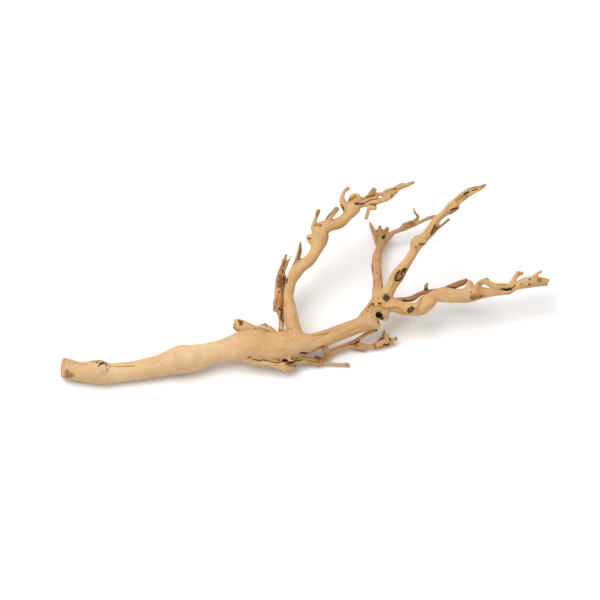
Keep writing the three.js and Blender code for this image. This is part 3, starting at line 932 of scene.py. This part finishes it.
back_limb.marks(
    (2.3, 2.6, 1, 1, (385.4, 156.8), (386.4, 160), dict(rough=0.3)),
    (1, 0.1, 0, 0.5, (376.2, 128.8), (376.4, 131.4)),
    (0.9, 0.1, 0, 0.5, (379.6, 129.2), (379.4, 130.8)),
    (1.1, 0.5, 0.4, 1, (378.2, 114.4)),
    (1.1, 0.8, 0.85, 0, (371.6, 123), (372.6, 115)),
    (0.9, 0.8, 0.9, 0, (380, 98.6), (381.8, 92.8)),
    (1.1, 0.8, 0.9, 0, (384.4, 99), (385, 95)),
    (0.7, 0.6, 0.5, 0, (383, 128), (384, 112)),
    (0.7, 0.6, 0.6, 0, (376, 150), (380, 164)),
    (3, 0, 0, 0.5, (411, 174), (420, 173), dict(swell=0.5, rough=0.7)),
    (0.9, 0.7, 0.1, 1, (413, 175.4), (416, 174.6), (417.4, 172.6)),
    (0.8, 0.7, 0.2, 1, (418.6, 175.6), (420.6, 174.4), (419, 172)),
    (5, 0, 0, 0, (374, 108), (379, 124), (377, 140), (381, 150), dict(pink=0.5, rough=0.7)),
    (1.6, 0, 0, 0.4, (423.6, 176), (427.4, 181.6), (422.6, 187)),
    (1.2, 0, 0.2, 1, (378.6, 169.6), (382.2, 170.4)),
    (0.8, 0.6, 0.6, 1, (378, 164), (378.6, 168.6)),
    (1.3, 0, 0, 0.9, (388, 168.6), (388.8, 165)),
    (3.6, 0, 0, 0, (392, 158), (402, 163), (408, 167), dict(grey=0.45)),
    (3, 0, 0, 0, (426, 175), (438, 181), dict(grey=0.5)),
    (1.4, 0, 0, 0.7, (382, 171), (381, 166)),
    (0.8, 1, 0.9, 0, (384, 168), (384, 163)),
)
back_limb.knots_behind(10, 6)
back_limb.weather(ridges=[(0, 0.18)], lumps=[(0, 0.8)])
back_limb.finish("back_limb", WORN_WOOD, "weathered_wood")


# ---------------------------------------------------------------------------------------------
# The centre limb: the straightest of the fan, with a big oval knot low down, a broken spur in a
# dark scar and a flattened, ragged end pitted by beetles. Bare pale wood.
centre_line = [
    [415.2, 128.8, 2, 5.2], [422, 140, 4, 5.7], [426.2, 150, 6, 8.1], [433.8, 156.4, 7, 6.1],
    [442.8, 165.6, 8, 6.4], [447.6, 175.4, 10, 4.9], [456, 183.6, 11, 3.7], [465.8, 191.4, 13, 6.8],
    [472.6, 198.8, 15, 5.2], [481.6, 204.2, 16, 3.8], [489.6, 209.4, 18, 3.2],
    [498, 212.6, 19, 2.4], [504.4, 216.8, 20, 1.6], [508, 219.8, 20, 0.9],
]
centre_spurs = [
    [[445, 164.6, 9, 4.6], [450.4, 167.8, 11, 2.5], [457, 172.6, 12, 1.5], [463.6, 178.2, 13, 1.3]],
    [[472, 200, 15, 4], [479, 207.6, 16, 2.7], [487, 212.8, 17, 2.3], [495, 215.2, 18, 1.9],
     [501, 216.6, 19, 1.4]],
    [[495, 213.4, 18, 2], [502, 217.6, 19, 1.3], [506.4, 219.8, 19, 1]],
    [[432, 153, 8, 5], [436.6, 149, 10, 2.6]],
    [[468, 194, 14, 5], [474.2, 192, 14, 3]],
]
centre_limb = grow(
    "centre_limb", 500, centre_line, centre_spurs, ["back_limb", "right_limb", "right_back_twig"]
)
centre_limb.marks(
    (3.8, 0, 0.06, 1, (402.8, 107.6), (405.2, 112.6), dict(swell=1, amber=0.3)),
    (1.4, 0.9, 0.85, 0.9, (400.9, 104.8), (400.6, 108.6), (402.2, 112.6), (404.9, 116),
     dict(rough=0.2)),
    (1.3, 0.9, 0.85, 0.9, (400.4, 104.8), (404.4, 105.4), (407.6, 107.8), (409.8, 111.4),
     dict(rough=0.2)),
    (1.3, 0.9, 0.9, 0.9, (407.6, 113), (408.2, 116.4), (410.8, 118.8), (413.4, 118.4),
     dict(rough=0.2)),
    (1.3, 0.9, 0.9, 0.9, (411.6, 118), (411, 114.8)),
    (0.9, 0.4, 0, 0.6, (399.4, 103), (396, 97), (391, 89)),
    (1.3, 0.6, 0.2, 0.9, (429.2, 148.6), (433, 148.2)),
    (1.7, 0.2, 0.25, 1, (433.8, 148.4), (435.6, 148.6), dict(swell=0.6)),
    (1.2, 0.5, 0.3, 0.9, (424.4, 144.5)),
    (1, 0.3, 0, 0.6, (419.9, 151.6)),
    (1.4, 0.8, 0.7, 1, (443.6, 160.4), (445.8, 165.4), (448.4, 171)),
    (1.8, 0.5, 0.15, 0.95, (446.8, 162.6), (449, 165.6)),
    (1.7, 0.7, 0.8, 1, (449.8, 167.6)),
    (2.2, 0, 0.05, 0.9, (452, 168.8), (457.4, 172.8), (463.4, 178)),
    (3, 0, 0, 0.75, (467, 187), (475, 190.4), dict(swell=1.1, pink=0.6)),
    (1.1, 1.8, 0.95, 0, (467, 189.4), (470.4, 191), (474.4, 191.8)),
    (1.8, 0.5, 0, 0.4, (472.6, 202.6), (474.6, 199.6), dict(amber=0.7)),
    (1.4, 0.4, 0, 0, (479.8, 204.4), dict(amber=0.7)),
    (1, 0.3, 0, 0.3, (468.2, 196.6), (461.6, 191.6), dict(amber=0.5)),
    (1.5, 0.4, 0, 0.4, (462.6, 186.8), dict(amber=0.6)),
    (1.7, 0, 0, 0.75, (476, 202.6), (480, 205.4), (484, 208), dict(amber=0.2, rough=0.7)),
    (1.8, 0, 0.1, 0.9, (483.4, 209.4), (488.2, 211.4), dict(rough=0.6)),
    (0.9, 0.8, 0.9, 0, (479.3, 206.2)),
    (0.9, 1, 0.95, 0, (482.4, 208.6), (487.9, 211.2)),
    (0.9, 0.8, 0.9, 0, (485.4, 206.2)),
    (0.8, 0.9, 0.9, 0, (492, 212.6), (498, 214.6)),
    (2, 0, 0, 0.55, (486, 213.6), (500, 217.4), (506, 218)),
)
centre_limb.knots_behind(14, 7)
centre_limb.weather(ridges=[(0, 0.13), (480, 0.16), (560, 0.35)], lumps=[(0, 0.85)])
centre_limb.finish("centre_limb", LIMB_WOOD, "limb_wood")


# ---------------------------------------------------------------------------------------------
# The right limb: the longest of the fan. A scar and a ring knot mark its root, a broken knot
# its middle, and a strand of it arches clear of the rest before the flattened, eaten end.
right_line = [
    [439.4, 79, -11, 10], [449.4, 86.4, -12, 7.2], [460, 87.8, -12, 8.7], [472, 86.6, -13, 8.8],
    [485, 87, -14, 9.2], [497, 89.8, -14, 9.4], [508, 90.4, -15, 6.2], [521, 91, -15, 4.9],
    [530, 90.4, -16, 4], [538, 92.2, -16, 4.2], [545.4, 97.6, -17, 4.6], [554, 101, -18, 6.3],
    [567, 104, -18, 7.4], [578, 103.8, -19, 6], [586.4, 102.8, -20, 4.4],
]
right_spurs = [
    [[539.4, 99, -16, 3.3], [543, 104, -16, 2.9], [546.4, 109.6, -15, 2.5], [550.4, 116, -15, 1.8]],
    [[549, 112.6, -15, 2.4], [555.6, 114.6, -15, 1.5]],
    [[565, 106, -18, 4], [571, 111.8, -19, 2.7], [578.6, 117, -20, 1.8]],
    [[487, 92, -13, 5], [490.4, 99, -13, 4], [491.4, 104, -14, 3.4]],
    [[491, 91, -13, 5], [497.6, 96.4, -12, 3.4], [502.4, 101.4, -12, 2.9],
     [508.6, 104.6, -12, 3.2], [513.6, 102, -12, 3.9], [520, 99, -12, 3.9],
     [529, 98.2, -13, 3.2], [536, 98.4, -14, 3.2], [542, 99.8, -15, 3.4], [547, 101, -17, 3.6]],
    [[509, 105.6, -12, 2.2], [511, 109.6, -12, 1.2]],
    [[511.4, 105, -12, 2], [514.8, 107.6, -12, 1.2]],
    [[574, 105.4, -19, 3.4], [582, 104.8, -20, 2.4]],
]
right_limb = grow(
    "right_limb", 600, right_line, right_spurs, ["back_limb", "centre_limb", "right_back_twig"]
)
right_limb.marks(
    (2.6, 0.9, 0.9, 1, (417.6, 69.2), (419.4, 70.6), dict(swell=0.7, ring=0.35, rough=0.5)),
    (1, 0.6, 0.9, 0, (420.4, 72.4), (421.6, 70.4)),
    (2, 0.4, 0, 0.5, (431.6, 85), (429.6, 79), (426, 70), dict(pink=0.3)),
    (5, 0, 0, 0, (427, 67), (438, 71), (450, 79), dict(pink=0.5, rough=0.6)),
    (3.4, 0, 0, 0, (486, 96), (483, 90), (486, 83), dict(grey=0.6, pink=0.4, rough=0.7)),
    (3.4, 0.7, 0.1, 0.85, (494, 85), (499.6, 85), dict(swell=1, amber=0.25, rough=0.5)),
    (1.3, 0.5, 0.25, 1, (491.6, 83.6), (495, 83)),
    (1.7, 0.9, 0.7, 1, (503, 86)),
    (1, 0.6, 0.3, 1, (491.4, 90.6)),
    (2, 0, 0, 0.35, (498, 92), (500.6, 98)),
    (1.4, 0.4, 0.2, 0.8, (501, 101.4)),
    (1.3, 0, 0.6, 1, (511, 107.6)),
    # Painted shadow in the narrow gap where the arching strand meets the top of the limb, which is
    # also sunk a little there.
    (1.5, 1.5, 0.85, 1, (527.6, 95.4), (533, 94), (538.4, 94.6)),
    (0.8, 0.7, 0.25, 0.9, (540, 95.4), (543.8, 98.8)),
    (1, 0.4, 0, 0.6, (526.6, 100.2), (532, 99.8)),
    (1.2, 0.7, 0.6, 1, (561.4, 106.4)),
    (1.3, 0.8, 0.75, 1, (560.9, 100.2)),
    (2.6, 0.5, 0.15, 0.9, (573, 105.6), dict(swell=0.8, ring=0.4)),
    (1.2, 0.7, 0.75, 0, (575.2, 106.4)),
    (1.5, 0.4, 0, 0.6, (551.2, 100.6)),
    (2.6, 0, 0, 0, (541, 105), (546, 111), dict(pink=0.6)),
    (2, 0, 0, 0.5, (548, 113.6), (552, 114)),
    (1, 0.5, 0, 0.7, (534, 88.4), (539, 89.4)),
    (5, 0, 0, 0, (556, 103), (578, 103), dict(grey=0.35, rough=0.7)),
)
crown_groove(right_limb)
right_limb.knots_behind(16, 8)
right_limb.weather(ridges=[(0, 0.17)], lumps=[(0, 1)])
right_limb.finish("right_limb", LIMB_WOOD, "limb_wood")


# ---------------------------------------------------------------------------------------------
# The right back twig: a thin brown twig that runs behind the right limb and shows above it in
# two broken stubs and below it as a sliver.
twig_line = [
    [429, 87.4, -27, 3.1], [436, 90.8, -28, 2.9], [443, 92, -28, 3], [451, 92.8, -28, 3],
    [463, 95.4, -28, 3], [471, 98, -27, 3.8], [479, 101.4, -26, 3.6], [484.4, 103.4, -25, 3.2],
    [488, 106.6, -25, 1.6],
]
twig_spurs = [
    [[436, 88, -27, 3], [439, 96, -26, 2.3], [440, 103, -25, 1.8]],
    [[438.4, 95, -26, 2], [437, 100, -25, 1.3]],
    [[434, 82, -27, 2.6], [444, 76.4, -28, 2.2], [456, 80, -28, 1.8]],
]
right_back_twig = grow(
    "right_back_twig", 700, twig_line, twig_spurs, ["back_limb", "centre_limb", "right_limb"]
)
right_back_twig.marks(
    (1, 0.5, 0.9, 0, (403.6, 82.4), (410, 80.9), (416, 80), (421, 81.2)),
    (1.2, 0.6, 0.8, 1, (462, 97.2), (468, 96.2), (475, 95.8), (482, 98.6)),
    (2.4, 0, 0, 0.5, (466, 99), (476, 101), (483, 104), dict(rough=0.7)),
    (1.4, 0, 0.3, 0.9, (484.4, 101.6), (485, 105)),
    (1.6, 0, 0.7, 0.8, (436, 94), (440, 96)),
)
right_back_twig.knots_behind(4, 9)
right_back_twig.weather(ridges=[(0, 0.24)], lumps=[(0, 0.45)])
right_back_twig.finish("right_back_twig", WORN_WOOD, "weathered_wood")


# ---------------------------------------------------------------------------------------------
# The under twig: it leaves the split slab, dips, touches the trunk again at a root and ends in
# a cluster of broken knobs that rests on the ground. Reddish, fluted wood.
under_run = Run(81, [
    [272, 20, -8, 7], [280, 14, -8, 5], [288, 10.4, -10, 4.8], [298, 8.2, -12, 4.5],
    [307, 5.4, -14, 4.3], [314, 8.8, -16, 4.4], [320, 15.4, -18, 4], [329, 20.6, -20, 3.3],
    [340, 24.6, -21, 3.7], [352, 28.2, -22, 4.7], [364, 25.2, -24, 3.1], [376, 25.8, -26, 3.6],
    [383.6, 28.8, -27, 5.6], [390.4, 31.6, -27, 4.7], [397.6, 33.2, -26, 2.5],
    [403.6, 34, -26, 1.9],
], trunk_run, 0.6)
under_spurs = [
    [[386, 31, -27, 5], [390.4, 36, -26, 3.6], [392.6, 40.4, -26, 2.3]],
    [[383.8, 32, -28, 3.4], [387, 39, -28, 1.8], [388.2, 45.2, -27, 1.2]],
    [[398, 33.4, -26, 2], [404, 37, -26, 1.3]],
    [[309, 5.4, -14, 3.2], [318, 5, -15, 2.1], [330, 3.8, -16, 1.9], [340, 3.4, -16, 1.9],
     [345.4, 2.2, -16, 1.8]],
    [[338, 3.8, -16, 1.8], [345, 5.6, -16, 1.2]],
    [[350, 28, -22, 4], [357, 34, -21, 2.6], [366, 40, -21, 2.4], [378.6, 46, -22, 2.4]],
    [[319, 14, -17, 4], [317.2, 20, -14, 3.7], [315, 27, -10, 4]],
    [[314, 8.4, -15, 3], [308, 11.6, -15, 2.4], [303, 12.4, -15, 1.6]],
    [[346, 25, -24, 3], [356, 22, -25, 2.4], [366, 20.6, -25, 2]],
    [[388, 27, -27, 3.2], [395, 28.4, -28, 2.2], [399.6, 28.8, -28, 1.5]],
    [[376, 27, -26, 4], [378, 22.6, -26, 2.2]],
]
under_twig = Wood([under_run, *offshoots(800, under_run, under_spurs)])
under_twig.marks(
    (1.1, 0.9, 0.8, 1, (351, 29.4), (355.6, 31.2)),
    (1, 0.7, 0.25, 1, (346, 28.6), (351, 28), (355, 26.6)),
    (0.7, 0.5, 0, 0.8, (344, 31), (352, 33), (358, 33.4)),
    (0.9, 0.8, 0.2, 1, (374.8, 28.6), (375.6, 26), (377, 24)),
    (1.8, 1.6, 0.85, 1, (387, 27.2), (391.4, 27.8), dict(rough=0.5)),
    (1.4, 0.6, 0.5, 1, (381.6, 24.8), (387, 25.2)),
    (1.4, 0.5, 0.45, 1, (379.6, 33), (381, 36.4), (384.6, 39.6)),
    (1.4, 0.9, 0.6, 1, (381.6, 34.6), (385.6, 36.2)),
    (1.1, 0.8, 0.75, 1, (394, 33), (393.6, 36)),
    (1, 0, 0.5, 0.9, (401, 36.4), (401.2, 34)),
    (1.5, 0, 0.5, 1, (376.6, 45.6), (378.4, 46.2)),
    (1.2, 0, 0, 0.6, (340.4, 6.4), (342, 3), (344.6, 4)),
    (1.2, 0, 0.2, 0.6, (345.6, 22.8), (361, 20.4), (364, 20)),
    (1.8, 0, 0.55, 0.9, (303, 13.6), (309, 12)),
    (0.7, 0.8, 0.35, 0.9, (286, 10), (298, 8), (308, 6.6), (314, 11), (318, 18)),
    (0.7, 0.8, 0.4, 1, (308, 9), (312, 13), (315, 19)),
    (0.7, 0.7, 0.2, 0.9, (312, 5.6), (317, 11), (321, 17)),
    (3, 0, 0, 0, (318, 5), (330, 4), (342, 4), dict(grey=0.5)),
    (5, 0, 0, 0, (320, 16), (345, 25), (372, 26), dict(pink=0.45, rough=0.6)),
    (3, 0, 0, 0, (356, 36), (374, 43), dict(pink=0.6)),
    (4, 0, 0, 0, (379, 28), (388, 31), (391, 38), dict(pink=0.5, rough=0.6)),
)
under_twig.knots_behind(9, 10)
under_twig.weather(ridges=[(0, 0.28)], lumps=[(0, 0.6)], clear=(-3, 5))
under_twig.finish("under_twig", WORN_WOOD, "weathered_wood")


# ---------------------------------------------------------------------------------------------
# The studio: a flat white floor, a disc wide enough to run out of sight, one large soft light
# overhead and a little to the left, and an even white fill from all round.

# Lengths are in metres, and the power is in watts.
FLOOR_RADIUS = 6
SOFTBOX_PLACE = Vector((-0.75, 0.1, 2.2))
SOFTBOX_WIDTH = 1.6
SOFTBOX_POWER = 42
FILL = 0.62

paper = Finish("white_paper", Roughness=0.9)
flutter = paper.cloud(paper.here(), 3.0)
shade = paper.mix(flutter, tone(250, 250, 250), tone(246, 246, 246))
bm = bmesh.new()
bmesh.ops.create_circle(bm, cap_ends=True, segments=64, radius=FLOOR_RADIUS)
floor_mesh = bpy.data.meshes.new("floor")
bm.to_mesh(floor_mesh)
bm.free()
floor_mesh.materials.append(paper.feed(Base_Color=shade))
floor = put("floor", floor_mesh)

softbox = put("softbox", bpy.data.lights.new("softbox", "AREA"))
softbox.data.size = SOFTBOX_WIDTH
softbox.data.energy = SOFTBOX_POWER
softbox.location = SOFTBOX_PLACE
softbox.rotation_euler = (-SOFTBOX_PLACE).to_track_quat("-Z", "Y").to_euler()

world = bpy.data.worlds.new("studio")
bpy.context.scene.world = world
world.use_nodes = True
sky = world.node_tree.nodes["Background"].inputs
sky["Color"].default_value = (1, 1, 1, 1)
sky["Strength"].default_value = FILL
bpy.context.scene.view_settings.view_transform = "Standard"
